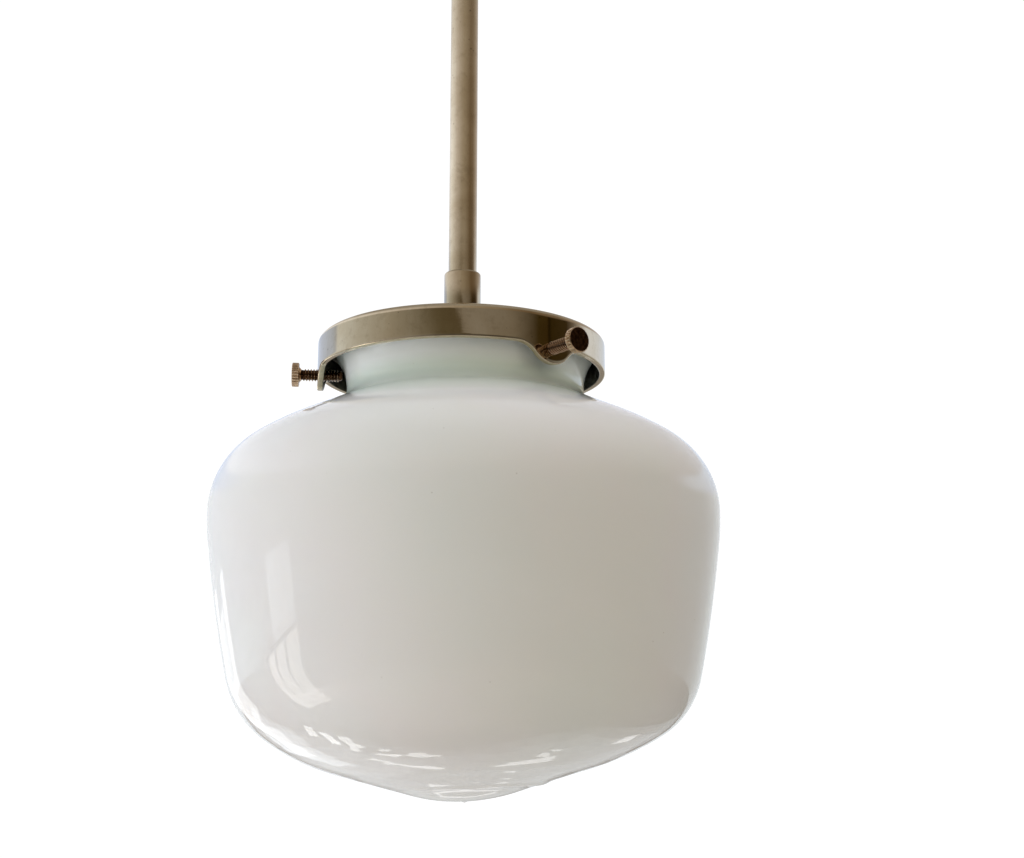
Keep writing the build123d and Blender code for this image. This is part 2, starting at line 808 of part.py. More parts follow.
pieces = {
    "ceiling_bar": ceiling_bar(),
    "canopy": canopy(),
    "canopy_studs": canopy_studs(),
    "canopy_nut_left": canopy_nut(-1),
    "canopy_nut_right": canopy_nut(1),
    "earth_screw": earth_screw(),
    "swivel_nipple": swivel_nipple(),
    "bar_locknuts": bar_locknuts(),
    "swivel_head": swivel_head(),
    "swivel_pin": swivel_pin(),
    "swivel_tongue": swivel_tongue(),
    "stem": stem(),
    "collar": collar(),
    "fitter": fitter(),
    "fitter_nipple": fitter_nipple(),
    "fitter_washer": fitter_washer(),
    "fitter_locknut": fitter_locknut(),
    "globe": globe(),
    "thumbscrew_left": thumbscrew(ear_angles[0]),
    "thumbscrew_front": thumbscrew(ear_angles[1], front_screw_backed_off),
    "thumbscrew_back": thumbscrew(ear_angles[2]),
    "holder_cap": holder_cap(),
    "holder_cap_screw": cap_screw(),
    "holder_shell": holder_shell(),
    "holder_liner": holder_liner(),
    "holder_core": holder_core(),
    "terminal_left": terminal(-1),
    "terminal_right": terminal(1),
    "lamp_shell": lamp_shell(),
    "centre_contact": centre_contact(),
    "lead_left": lead(-1),
    "lead_right": lead(1),
    "bulb_glass": bulb_glass(),
    "bulb_base": bulb_base(),
    "bulb_insulator": bulb_insulator(),
    "bulb_contact": bulb_contact(),
}

os.makedirs("parts", exist_ok=True)
for name, piece in pieces.items():
    export_step(piece, f"parts/{name}.step")
    print(name, len(piece.solids()), [round(v, 1) for v in piece.bounding_box().size])
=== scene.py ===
import json
from math import atan2, cos, hypot, pi, radians, sin, sqrt, tan

import bmesh
import bpy
from mathutils import Matrix, Vector, noise


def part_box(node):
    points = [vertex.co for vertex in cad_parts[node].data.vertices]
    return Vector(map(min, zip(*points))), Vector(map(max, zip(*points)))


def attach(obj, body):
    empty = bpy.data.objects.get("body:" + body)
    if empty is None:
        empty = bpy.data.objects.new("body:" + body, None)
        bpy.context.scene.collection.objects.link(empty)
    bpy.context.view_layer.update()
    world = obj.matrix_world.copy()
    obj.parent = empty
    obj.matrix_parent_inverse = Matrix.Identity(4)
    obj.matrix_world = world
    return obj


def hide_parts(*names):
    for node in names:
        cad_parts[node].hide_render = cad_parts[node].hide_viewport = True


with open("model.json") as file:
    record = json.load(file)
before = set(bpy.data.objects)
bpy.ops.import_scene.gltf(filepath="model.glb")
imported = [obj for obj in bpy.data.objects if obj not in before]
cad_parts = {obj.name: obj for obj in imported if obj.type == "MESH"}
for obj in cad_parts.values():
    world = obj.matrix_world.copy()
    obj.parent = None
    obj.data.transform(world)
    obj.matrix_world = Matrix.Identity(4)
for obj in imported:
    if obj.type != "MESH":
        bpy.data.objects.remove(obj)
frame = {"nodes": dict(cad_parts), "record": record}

# Looks of the schoolhouse pendant light, in metres, in the CAD model's frame.
# Heights of the fitter and the glass are measured from the fitter's lower edge, as in the CAD.
scene = bpy.context.scene
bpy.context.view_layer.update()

# Sizes shared with the CAD
ear_drop = 0.0066
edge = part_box("fitter")[0].z + ear_drop
fitter_radius = 0.054
fitter_wall = 0.0022
fitter_height = 0.0123
dome_rise = 0.0067
dome_flat = 0.014
ear_radius = 0.0095
ear_angles = (-86.0, 36.0, 154.0)
stem_radius = 0.0054
thread_radius = 0.0048
thread_wall = 0.0014
collar_radius = 0.007
collar_edge = 0.0008
screw_below_edge = 0.0009
screw_radius = 0.00235
screw_root = 0.0018
screw_pitch = 0.00106
screw_length = 0.016
screw_neck = 0.001
screw_tip = 0.00045
front_backed_off = 0.0024
knob_radius = 0.0045
knob_height = 0.00265
glass_wall = 0.003
glass_narrow = 0.006
glass_aside = 0.0014
glass_lean = 0.3
lip_room = 0.0034

# Sizes of the looks alone. The fitter's top edge is sharper than the solid's, as the photograph shows it.
fitter_edge = 0.0016
fitter_inner_edge = 0.0008
fitter_lip = 0.00045
dome_inset = 0.003
hole_room = 0.00008
small_edge = 0.0002

# The camera, from the photograph: its focal length in pixels of the 1024 pixel wide frame,
# its place in front of the lamp and below the fitter's edge, and its tilt and turn in degrees
photo_width = 1024
focal_pixels = 1400
sensor = 36.0
camera_distance = 0.5118
camera_below_edge = 0.13605
camera_tilt = 12.77
camera_turn = -2.126

camera_data = bpy.data.cameras.new("camera")
camera_data.sensor_width = sensor
camera_data.lens = sensor * focal_pixels / photo_width
camera = bpy.data.objects.new("camera", camera_data)
camera.location = (0, -camera_distance, edge - camera_below_edge)
camera.rotation_euler = (radians(90 + camera_tilt), 0, radians(camera_turn))
scene.collection.objects.link(camera)
scene.camera = camera
scene.view_settings.view_transform = "Standard"

black = (0.0, 0.0, 0.0)
white = (1.0, 1.0, 1.0)


class Nodes:
    """Short calls that add nodes to a tree. Each gives back the new node's output."""

    def __init__(self, tree, coordinates):
        self.tree = tree
        self.place = self.node("ShaderNodeTexCoord").outputs[coordinates]

    def node(self, kind, **settings):
        made = self.tree.nodes.new(kind)
        for name, value in settings.items():
            setattr(made, name, value)
        return made

    def link(self, source, target):
        self.tree.links.new(source, target)

    def stretched(self, scale):
        mapping = self.node("ShaderNodeMapping")
        mapping.inputs["Scale"].default_value = scale
        self.link(self.place, mapping.inputs["Vector"])
        return mapping.outputs["Vector"]

    def noise(self, scale, detail=4.0, roughness=0.55, stretch=None, distortion=0.0):
        made = self.node("ShaderNodeTexNoise")
        made.inputs["Scale"].default_value = scale
        made.inputs["Detail"].default_value = detail
        made.inputs["Roughness"].default_value = roughness
        made.inputs["Distortion"].default_value = distortion
        self.link(self.stretched(stretch) if stretch else self.place, made.inputs["Vector"])
        return made.outputs["Fac"]

    def spots(self, scale, low, high):
        """1 in small dots scattered at that scale, 0 elsewhere."""
        made = self.node("ShaderNodeTexVoronoi")
        made.inputs["Scale"].default_value = scale
        self.link(self.place, made.inputs["Vector"])
        return self.ramp(made.outputs["Distance"], [(low, white), (high, black)])

    def ramp(self, source, stops):
        made = self.node("ShaderNodeValToRGB")
        elements = made.color_ramp.elements
        while len(elements) < len(stops):
            elements.new(0.5)
        for element, (position, colour) in zip(elements, stops):
            element.position = position
            element.color = (*colour, 1)
        self.link(source, made.inputs["Fac"])
        return made.outputs["Color"]

    def mask(self, source, low, high):
        """Black up to low, white from high on."""
        return self.ramp(source, [(low, black), (high, white)])

    def mix(self, factor, first, second, blend="MIX"):
        made = self.node("ShaderNodeMix", data_type="RGBA", blend_type=blend)
        for name, value in (("Factor", factor), ("A", first), ("B", second)):
            socket = next(s for s in made.inputs if s.name == name and s.enabled)
            if isinstance(value, (int, float)):
                socket.default_value = value
            elif isinstance(value, tuple):
                socket.default_value = (*value, 1)
            else:
                self.link(value, socket)
        return next(s for s in made.outputs if s.enabled)

    def math(self, operation, *values):
        made = self.node("ShaderNodeMath", operation=operation)
        for socket, value in zip(made.inputs, values):
            if isinstance(value, (int, float)):
                socket.default_value = value
            else:
                self.link(value, socket)
        return made.outputs["Value"]

    def spread(self, source, low, high, to_low, to_high):
        made = self.node("ShaderNodeMapRange")
        for name, value in (("From Min", low), ("From Max", high), ("To Min", to_low), ("To Max", to_high)):
            made.inputs[name].default_value = value
        self.link(source, made.inputs["Value"])
        return made.outputs["Result"]

    def bump(self, height, distance, strength=1.0, under=None):
        made = self.node("ShaderNodeBump")
        made.inputs["Distance"].default_value = distance
        made.inputs["Strength"].default_value = strength
        self.link(height, made.inputs["Height"])
        if under is not None:
            self.link(under, made.inputs["Normal"])
        return made.outputs["Normal"]

    def axis(self, name):
        split = self.node("ShaderNodeSeparateXYZ")
        self.link(self.place, split.inputs["Vector"])
        return split.outputs[name]

    def out(self):
        """Distance from the object's own Z axis."""
        squares = [self.math("POWER", self.axis(name), 2.0) for name in "XY"]
        return self.math("SQRT", self.math("ADD", *squares))


class Shader(Nodes):
    """A material around one Principled shader, in the object's own coordinates."""

    def __init__(self, name, **sockets):
        self.material = bpy.data.materials.new(name)
        self.material.use_nodes = True
        super().__init__(self.material.node_tree, "Object")
        self.principled = self.tree.nodes["Principled BSDF"]
        for socket, value in sockets.items():
            self.principled.inputs[socket.replace("_", " ")].default_value = value

    def below_edge(self, depths, to_low, to_high):
        """One value below the first depth under the fitter's edge, and the other above the second."""
        return self.spread(self.axis("Z"), edge - depths[0], edge - depths[1], to_low, to_high)

    def finish(self, colour, roughness, normal):
        for source, name in ((colour, "Base Color"), (roughness, "Roughness"), (normal, "Normal")):
            self.link(source, self.principled.inputs[name])
        return self.material


# Materials
nickel_bright = (0.66, 0.57, 0.43)
nickel_dull = (0.54, 0.44, 0.30)
fleck_brown = (0.30, 0.23, 0.14)
pit_brown = (0.06, 0.04, 0.02)
# Painted shade inside the fitter's cup: the near-black colours of its inner wall, and how soon they fade out.
inside_shade_dark = (0.018, 0.016, 0.008)
inside_shade_light = (0.07, 0.065, 0.035)
inside_shade_fade = 0.0003
glass_speck = (0.30, 0.27, 0.22)
neck_green = (0.70, 0.80, 0.71)
# Painted light: the lighter colour that the neck turns to just under the fitter, against the fitter's shade,
# and the depths where it does.
neck_painted_light = (0.92, 0.98, 0.93)
neck_depths = (0.022, 0.009)
neck_painted_light_depths = (0.0065, 0.002)
foot_depths = (0.138, 0.126)
bronze_dark = (0.055, 0.026, 0.012)
bronze_brown = (0.15, 0.075, 0.04)
bronze_worn = (0.66, 0.47, 0.31)


def nickel(name, wiping, rough, pits, bright=nickel_bright, dull=nickel_dull, shaded_inside=False):
    """Old nickel plate: cloudy tarnish, flecks, wiping marks along one direction, and small pits. Where
    asked, painted shade darkens the inside of the fitter's wall below its roof.
    """
    shader = Shader(name, Metallic=1.0)
    clouds = shader.noise(45, 6, 0.62, distortion=0.4)
    flecks = shader.noise(260, 5, 0.68)
    fine = shader.noise(900, 4, 0.7)
    wiped = shader.noise(1, 5, 0.6, stretch=wiping)
    colour = shader.mix(shader.mask(clouds, 0.36, 0.70), bright, dull)
    fleck = shader.math("MULTIPLY", shader.mask(flecks, 0.52, 0.74), 0.35)
    colour = shader.mix(fleck, colour, fleck_brown)
    colour = shader.mix(shader.spread(wiped, 0.35, 0.75, 0.0, 0.35), colour, dull)
    pitted = shader.mask(shader.noise(130, 3), 0.50, 0.62)
    pit = shader.mix(1.0, shader.spots(330, 0.05, 0.13), pitted, "MULTIPLY")
    colour = shader.mix(shader.math("MULTIPLY", pit, pits), colour, pit_brown)
    roughness = shader.spread(clouds, 0.3, 0.75, *rough)
    roughness = shader.math("ADD", roughness, shader.spread(flecks, 0.45, 0.75, 0.0, 0.03))
    # Painted shade: the inside of the fitter's wall, below its roof, is darkened where shadow falls in the
    # cup, and made rougher.
    if shaded_inside:
        inner = fitter_radius - fitter_wall + 0.0001
        roof = edge + fitter_height - 0.0005
        within = shader.spread(shader.out(), inner, inner + inside_shade_fade, 1.0, 0.0)
        under = shader.spread(shader.axis("Z"), roof, roof + inside_shade_fade, 1.0, 0.0)
        inside_shade = shader.math("MULTIPLY", within, under)
        colour = shader.mix(inside_shade, colour, shader.ramp(flecks, [(0.4, inside_shade_dark), (0.7, inside_shade_light)]))
        roughness = shader.math("ADD", roughness, shader.math("MULTIPLY", inside_shade, 0.25))
    normal = shader.bump(wiped, 0.00002, 0.3)
    normal = shader.bump(fine, 0.000006, 0.4, normal)
    return shader.finish(colour, roughness, normal)


def glass_material():
    """Opal glass: milky all through and glossy on top, greener where the neck is thin, and painted lighter on
    the neck just under the fitter, where the fitter shades it.
    """
    shader = Shader("opal_glass", IOR=1.5, Subsurface_Weight=0.45, Subsurface_Scale=0.012)
    shader.principled.inputs["Subsurface Radius"].default_value = (1.0, 0.95, 0.85)
    mottle = shader.ramp(shader.noise(14, 3, 0.5), [
        (0.30, (0.780, 0.800, 0.775)), (0.48, (0.800, 0.797, 0.775)),
        (0.58, (0.805, 0.785, 0.775)), (0.72, (0.795, 0.800, 0.790)),
    ])
    # Painted light: just under the fitter the neck's green gives way to a lighter colour, against the
    # fitter's shade.
    neck_tint_and_light = shader.mix(shader.below_edge(neck_painted_light_depths, 0.0, 1.0), neck_green, neck_painted_light)
    colour = shader.mix(shader.below_edge(neck_depths, 0.0, 1.0), mottle, neck_tint_and_light)
    speck = shader.math("MULTIPLY", shader.spots(120, 0.012, 0.03), 0.5)
    colour = shader.mix(speck, colour, glass_speck)
    smears = shader.noise(1, 4, 0.6, stretch=(60, 60, 18))
    roughness = shader.spread(smears, 0.35, 0.7, 0.006, 0.03)
    normal = shader.bump(shader.noise(38, 2, 0.4), 0.0006, 0.04)
    streaks = shader.noise(1, 2, 0.5, stretch=(30, 42, 150))
    streaks = shader.math("MULTIPLY", shader.below_edge(foot_depths, 1.0, 0.0), streaks)
    normal = shader.bump(streaks, 0.0012, 0.5, normal)
    return shader.finish(colour, roughness, normal)


def bronze_material():
    """Dark worn screws, coppery along the thread's crests and on the knurled rim of the knob."""
    shader = Shader("screw_bronze", Metallic=1.0)
    out = shader.out()
    crest = shader.spread(out, screw_root + 0.00032, screw_radius - 0.00003, 0.0, 1.0)
    on_thread = shader.spread(shader.axis("Z"), screw_length - 0.0004, screw_length, 1.0, 0.0)
    rim = shader.spread(out, knob_radius - 0.00045, knob_radius - 0.0002, 0.0, 1.0)
    worn = shader.math("MAXIMUM", shader.math("MULTIPLY", crest, on_thread), rim)
    grime = shader.noise(900, 5, 0.65)
    worn = shader.math("MULTIPLY", worn, shader.spread(grime, 0.3, 0.55, 0.5, 1.0))
    dark = shader.ramp(grime, [(0.35, bronze_dark), (0.65, bronze_brown)])
    colour = shader.mix(worn, dark, bronze_worn)
    roughness = shader.spread(grime, 0.3, 0.7, 0.12, 0.26)
    return shader.finish(colour, roughness, shader.bump(grime, 0.00001, 0.3))


def plain_metal(name, colour, worn, rough, streak=None):
    """Everyday metal with faint brushing or grain and darker patches."""
    shader = Shader(name, Metallic=1.0)
    grain = shader.noise(1, 5, 0.6, stretch=streak) if streak else shader.noise(300, 5, 0.6)
    tint = shader.mix(shader.spread(shader.noise(50, 4, 0.6), 0.4, 0.7, 0.0, 1.0), colour, worn)
    roughness = shader.spread(grain, 0.3, 0.7, rough * 0.75, rough * 1.3)
    return shader.finish(tint, roughness, shader.bump(grain, 0.00002, 0.5))


def plain_surface(name, colour, worn, rough, scale, bump=0.00002):
    """A surface that isn't metal: two close colours in patches, uneven gloss and a fine bump."""
    shader = Shader(name)
    patches = shader.noise(scale, 5, 0.6)
    fine = shader.noise(scale * 7, 4, 0.6)
    tint = shader.mix(shader.spread(patches, 0.35, 0.7, 0.0, 1.0), colour, worn)
    roughness = shader.spread(fine, 0.3, 0.7, rough * 0.8, rough * 1.2)
    return shader.finish(tint, roughness, shader.bump(fine, bump, 0.5))


fitter_nickel = nickel("fitter_nickel", (500, 500, 60), (0.02, 0.05), 0.6, shaded_inside=True)
collar_nickel = nickel(
    "collar_nickel", (900, 900, 30), (0.08, 0.14), 0.6, bright=(0.56, 0.48, 0.35), dull=(0.46, 0.37, 0.25),
)
stem_nickel = nickel("stem_nickel", (1100, 1100, 12), (0.14, 0.22), 0.7)
materials = {
    "old_nickel": nickel("old_nickel", (500, 500, 60), (0.05, 0.10), 0.6),
    "canopy_nickel": nickel("canopy_nickel", (300, 300, 60), (0.10, 0.20), 0.5),
    "screw_bronze": bronze_material(),
    "opal_glass": glass_material(),
    "zinc_steel": plain_metal("zinc_steel", (0.62, 0.62, 0.60), (0.48, 0.47, 0.44), 0.35),
    "holder_brass": plain_metal("holder_brass", (0.68, 0.52, 0.28), (0.48, 0.35, 0.18), 0.30, (500, 500, 40)),
    "liner_card": plain_surface("liner_card", (0.16, 0.13, 0.11), (0.10, 0.08, 0.07), 0.8, 200, 0.00006),
    "porcelain": plain_surface("porcelain", (0.86, 0.85, 0.80), (0.80, 0.78, 0.71), 0.12, 90),
    "terminal_brass": plain_metal("terminal_brass", (0.74, 0.58, 0.30), (0.55, 0.41, 0.20), 0.25),
    "terminal_steel": plain_metal("terminal_steel", (0.70, 0.69, 0.66), (0.55, 0.54, 0.51), 0.25),
    "lead_dark": plain_surface("lead_dark", (0.045, 0.045, 0.045), (0.07, 0.065, 0.06), 0.45, 260, 0.00004),
    "lead_light": plain_surface("lead_light", (0.80, 0.79, 0.75), (0.70, 0.68, 0.62), 0.45, 260, 0.00004),
    "bulb_frost": plain_surface("bulb_frost", (0.90, 0.90, 0.87), (0.84, 0.84, 0.81), 0.35, 60),
    "bulb_aluminium": plain_metal("bulb_aluminium", (0.76, 0.76, 0.77), (0.62, 0.62, 0.62), 0.30),
    "bulb_black": plain_surface("bulb_black", (0.025, 0.025, 0.028), (0.05, 0.045, 0.045), 0.15, 200),
    "solder": plain_metal("solder", (0.56, 0.56, 0.55), (0.40, 0.40, 0.39), 0.40),
    "earth_green": plain_surface("earth_green", (0.09, 0.30, 0.13), (0.06, 0.20, 0.09), 0.35, 300),
}


# Mesh helpers. Sections are lists of (radius, height).
def new_piece(name, bm, material, body, node, sharp=35.0, place=None):
    """Turns a bmesh into a smooth piece that rides on a body and stands for a CAD node."""
    bmesh.ops.recalc_face_normals(bm, faces=bm.faces)
    mesh = bpy.data.meshes.new(name)
    bm.to_mesh(mesh)
    bm.free()
    mesh.shade_smooth()
    mesh.set_sharp_from_angle(angle=radians(sharp))
    mesh.materials.append(material)
    piece = bpy.data.objects.new(name, mesh)
    scene.collection.objects.link(piece)
    if place is not None:
        piece.matrix_world = place
    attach(piece, body)
    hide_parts(node)
    return piece


def rounded(corners, steps=5):
    """A line through corners given as (radius, height, fillet), with an arc at each that has a fillet."""
    points = []
    for index, (r, z, fillet) in enumerate(corners):
        here = Vector((r, z))
        if fillet <= 0:
            points.append(here)
            continue
        back = Vector(corners[index - 1][:2]) - here
        ahead = Vector(corners[index + 1][:2]) - here
        reach = min(fillet, back.length * 0.5, ahead.length * 0.5)
        start = here + back.normalized() * reach
        end = here + ahead.normalized() * reach
        for step in range(steps + 1):
            t = step / steps
            points.append(start * (1 - t) ** 2 + here * 2 * t * (1 - t) + end * t ** 2)
    return points


def arc(centre, radius, start, end, count):
    turns = [radians(start + (end - start) * k / count) for k in range(count + 1)]
    return [(centre[0] + radius * cos(turn), centre[1] + radius * sin(turn)) for turn in turns]


def between(start, end, count):
    """The points that part a straight line into count pieces, without its ends."""
    return [
        (start[0] + (end[0] - start[0]) * k / count, start[1] + (end[1] - start[1]) * k / count)
        for k in range(1, count)
    ]


def travel(steps, point, heading, spacing, inset=0.0):
    """Points along a chain of (radius, turn) arcs and (length, 0) lines, and the heading at its end.
    Turns are in degrees, positive to the left. An inset moves the chain left and keeps the arcs' centres."""
    x, z = point
    points = [point]
    for size, turn in steps:
        if turn == 0:
            end = (x + size * cos(radians(heading)), z + size * sin(radians(heading)))
            points += between((x, z), end, max(1, round(size / spacing)))
            points.append(end)
        else:
            side = 1 if turn > 0 else -1
            radius = size - side * inset
            centre = (x - side * radius * sin(radians(heading)), z + side * radius * cos(radians(heading)))
            count = max(6, round(abs(radians(turn)) * radius / spacing))
            first = heading - side * 90
            points += arc(centre, radius, first, first + turn, count)[1:]
        x, z = points[-1]
        heading += turn
    return points, heading


def end_of(steps, point=(0, 0), heading=0):
    return travel(steps, point, heading, 1)[0][-1]


def join_rings(bm, rings, closed):
    pairs = list(zip(rings, rings[1:]))
    if closed:
        pairs.append((rings[-1], rings[0]))
    for low, high in pairs:
        count = max(len(low), len(high))
        for k in range(count):
            after = (k + 1) % count
            corners = [low[k % len(low)], low[after % len(low)], high[after % len(high)], high[k % len(high)]]
            unique = list(dict.fromkeys(corners))
            if len(unique) > 2:
                bm.faces.new(unique)


def lathe(points, segments):
    """A closed surface of revolution. Points on the axis become one vertex."""
    bm = bmesh.new()
    turns = [2 * pi * k / segments for k in range(segments)]
    rings = []
    for r, z in points:
        if r < 1e-7:
            rings.append([bm.verts.new((0, 0, z))])
        else:
            rings.append([bm.verts.new((r * cos(turn), r * sin(turn), z)) for turn in turns])
    join_rings(bm, rings, closed=len(rings[0]) > 1 and len(rings[-1]) > 1)
    return bm


def around(angle, radius, height):
    """A place on the fitter's circle whose +Z points outwards. Angles run from -Y towards +X."""
    turn = radians(angle)
    outward = Matrix.Rotation(turn - pi / 2, 4, "Z") @ Matrix.Rotation(pi / 2, 4, "Y")
    return Matrix.Translation((radius * sin(turn), -radius * cos(turn), height)) @ outward


# Glass globe. Its outline is a chain of tangent arcs and lines, as in the CAD, with slopes in degrees.
glass_radius = 0.09335
tip_half_width = 0.019
cone_slope = 16.0
hip_radius = 0.085
hip_slope = 35.0
corner_radius = 0.034
low_side_slope = 78.0
side_radius = 0.55
high_side_slope = 83.0
belly_radius = 0.09
shoulder_radius = 0.031
shoulder_slope = 33.0
brow_radius = 0.106
brow_slope = 25.0
neck_fillet = 0.0074
flare_radius = 0.02
flare_slope = 36.0
glass_neck = fitter_radius - fitter_wall - lip_room - flare_radius * (1 - cos(radians(flare_slope)))

glass_spacing = 0.0014
glass_segments = 256

# What the blowing left: waves all over, a ring round the tip that is deepest at +X, and a foot that
# is pushed up and leans
wave_height = 0.0002
wave_size = 0.05
tip_ring_radius = 0.0285
tip_ring_width = 0.005
tip_ring_height = 0.0005
foot_radius = 0.055
foot_height = 0.055
foot_fade = 0.03
foot_rise = 0.0004
foot_skew = 0.00115


def glass_steps():
    tip = (tip_half_width / sin(radians(cone_slope)), cone_slope)
    lower = [
        (hip_radius, hip_slope - cone_slope),
        (corner_radius, low_side_slope - hip_slope),
        (side_radius, high_side_slope - low_side_slope),
        (belly_radius, 90 - high_side_slope),
    ]
    upper = [(shoulder_radius, 90 - shoulder_slope), (brow_radius, shoulder_slope - brow_slope)]
    neck_turn = 90 - brow_slope
    cone_reach = glass_radius - end_of(lower, heading=cone_slope)[0] - end_of([tip])[0]
    cone = cone_reach / cos(radians(cone_slope))
    brow_end = end_of(upper, (glass_radius, 0), 90)
    fillet_reach = neck_fillet * (1 - cos(radians(neck_turn)))
    roof = (brow_end[0] - glass_neck - fillet_reach) / cos(radians(brow_slope))
    neck = [(roof, 0), (neck_fillet, -neck_turn), (flare_radius, -flare_slope)]
    return [tip, (cone, 0), *lower, *upper, *neck]


def glass_section(steps, lowest):
    """The outside, the rounded lip and the inside of the glass, from the axis back to the axis."""
    outer, heading = travel(steps, (0, lowest), 0, glass_spacing)
    inner, _ = travel(steps, (0, lowest + glass_wall), 0, glass_spacing * 2, glass_wall)
    lip_out = Vector(outer[-1])
    lip_in = Vector(inner[-1])
    middle = (lip_out + lip_in) / 2
    across = (lip_in - lip_out) / 2
    ahead = Vector((cos(radians(heading)), sin(radians(heading)))) * glass_wall / 2
    lip = [middle - across * cos(pi * k / 8) + ahead * sin(pi * k / 8) for k in range(1, 8)]
    return [*outer, *lip, *reversed(inner)]


def blown(point, lowest):
    """Where a point of the true shape lies in the blown glass."""
    out = hypot(point.x, point.y)
    if out < 1e-6:
        return point
    ring = 0.0
    if point.z < lowest + glass_wall * 2:
        near = max(0.0, 1 - abs(out - tip_ring_radius) / tip_ring_width)
        ring = tip_ring_height * (0.5 + 0.5 * cos(atan2(point.y, point.x))) * near * near
    wave = (noise.noise(point / wave_size) - 1) / 2 * wave_height
    scale = 1 + wave / out
    moved = Vector((point.x * scale, point.y * scale, point.z - ring))
    if moved.z < lowest + foot_height:
        share = min(1.0, max(0.0, (foot_radius + foot_fade - out) / foot_fade))
        share *= share * (3 - 2 * share)
        moved.z += share * (foot_rise + foot_skew * moved.x / hypot(moved.x, foot_fade))
    return moved


def make_globe():
    steps = glass_steps()
    lowest = -glass_narrow - end_of(steps[:-1])[1]
    bm = lathe(glass_section(steps, lowest), glass_segments)
    for vert in bm.verts:
        vert.co = blown(vert.co, lowest)
    place = Matrix.Translation((glass_aside, 0, edge)) @ Matrix.Rotation(radians(-glass_lean), 4, "Y")
    bmesh.ops.transform(bm, matrix=place, verts=bm.verts)
    return new_piece("opal_globe", bm, materials["opal_glass"], "globe", "globe", 60)


# Fitter
fitter_columns = 720
wall_rows = 14
dome_rows = 24
hole_segments = 48


def ear_fall(along):
    """How far the fitter's edge drops at a distance along it from an ear's middle."""
    tip = ear_radius - ear_drop
    reach = sqrt((2 * ear_radius) ** 2 - (ear_radius + tip) ** 2)
    along = abs(along)
    if along >= reach:
        return 0.0
    if along > reach / 2:
        return ear_radius - sqrt(ear_radius ** 2 - (reach - along) ** 2)
    return sqrt(ear_radius ** 2 - along ** 2) - tip


def edge_fall(turn):
    """How far the fitter's edge has dropped at a turn round it, in radians."""
    away = [(turn - radians(angle) + pi) % (2 * pi) - pi for angle in ear_angles]
    return max(ear_fall(turned * fitter_radius) for turned in away)


def dome(level):
    """The dome's line from the thread's hole down to the fitter's shoulder, whose height is given."""
    foot = fitter_radius - dome_inset
    line = [(thread_radius, level + dome_rise)]
    for k in range(dome_rows + 1):
        t = k / dome_rows
        line.append((dome_flat + (foot - dome_flat) * t, level + dome_rise * (1 - t * t * (3 - 2 * t))))
    return line


def fitter_section(turn):
    """The cup's closed section at a turn round it: down its outside, round its edge and up its inside."""
    inner = fitter_radius - fitter_wall
    knee = fitter_height - fitter_edge
    inner_knee = fitter_height - fitter_wall - fitter_inner_edge
    low = fitter_lip - edge_fall(turn)
    return [
        *dome(fitter_height),
        *arc((fitter_radius - fitter_edge, knee), fitter_edge, 90, 0, 8),
        *between((fitter_radius, knee), (fitter_radius, low), wall_rows),
        *arc((fitter_radius - fitter_lip, low), fitter_lip, 0, -90, 4),
        *arc((inner + fitter_lip, low), fitter_lip, -90, -180, 4),
        *between((inner, low), (inner, inner_knee), wall_rows),
        *arc((inner - fitter_inner_edge, inner_knee), fitter_inner_edge, 0, 90, 4),
        *reversed(dome(fitter_height - fitter_wall)),
    ]


def drill(piece, place):
    """Cuts a thumbscrew's hole through a piece."""
    mesh = bpy.data.meshes.new("cutter")
    bm = bmesh.new()
    radius = screw_radius + hole_room
    bmesh.ops.create_cone(
        bm, cap_ends=True, segments=hole_segments, radius1=radius, radius2=radius, depth=4 * fitter_wall,
    )
    bm.to_mesh(mesh)
    bm.free()
    cutter = bpy.data.objects.new("cutter", mesh)
    scene.collection.objects.link(cutter)
    cutter.matrix_world = place
    modifier = piece.modifiers.new("hole", "BOOLEAN")
    modifier.operation = "DIFFERENCE"
    modifier.solver = "EXACT"
    modifier.object = cutter
    bpy.context.view_layer.update()
    evaluated = piece.evaluated_get(bpy.context.evaluated_depsgraph_get())
    holed = bpy.data.meshes.new_from_object(evaluated)
    piece.modifiers.remove(modifier)
    piece.data = holed
    bpy.data.objects.remove(cutter)


def make_fitter():
    turns = [2 * pi * k / fitter_columns for k in range(fitter_columns)]
    sections = [fitter_section(turn) for turn in turns]
    bm = bmesh.new()
    rings = [
        [bm.verts.new((r * sin(turn), -r * cos(turn), edge + z)) for turn, (r, z) in zip(turns, row)]
        for row in zip(*sections)
    ]
    join_rings(bm, rings, closed=True)
    piece = new_piece("nickel_fitter", bm, fitter_nickel, "pendant", "fitter")
    for angle in ear_angles:
        drill(piece, around(angle, fitter_radius, edge - screw_below_edge))
    piece.data.set_sharp_from_angle(angle=radians(35))
    return piece


# Thumbscrews. A row's radius is a function of the share of a turn round the screw.
tip_gap = 0.0003
rows_per_pitch = 10
fade_rows = 8
crest_steepness = 2.7
crest_start = 0.3
flare = 0.0006
knurls = 22
columns_per_knurl = 8
knurl_depth = 0.0003
knurl_steepness = 3.2
knob_edge = 0.00035
knob_seat = 0.0009
knurl_rows = ((0.08, 0.4), (0.2, 0.9), (0.3, 1.0), (0.7, 1.0), (0.8, 0.9), (0.92, 0.4))


def tip_reach(angle):
    """How far from the fitter's axis a screw's tip stands, so that it just clears the glass."""
    rise = screw_radius - screw_tip - screw_below_edge + glass_narrow
    surface = glass_neck + flare_radius - sqrt(flare_radius ** 2 - rise ** 2)
    return surface + glass_aside * sin(radians(angle)) + tip_gap


def plain(radius):
    return lambda share: radius


def threaded(z, depth):
    def radius_at(share):
        phase = (z / screw_pitch - share) % 1
        crest = min(1.0, max(0.0, (0.5 - abs(phase - 0.5)) * crest_steepness - crest_start))
        return screw_root + (screw_radius - screw_root) * crest * depth
    return radius_at


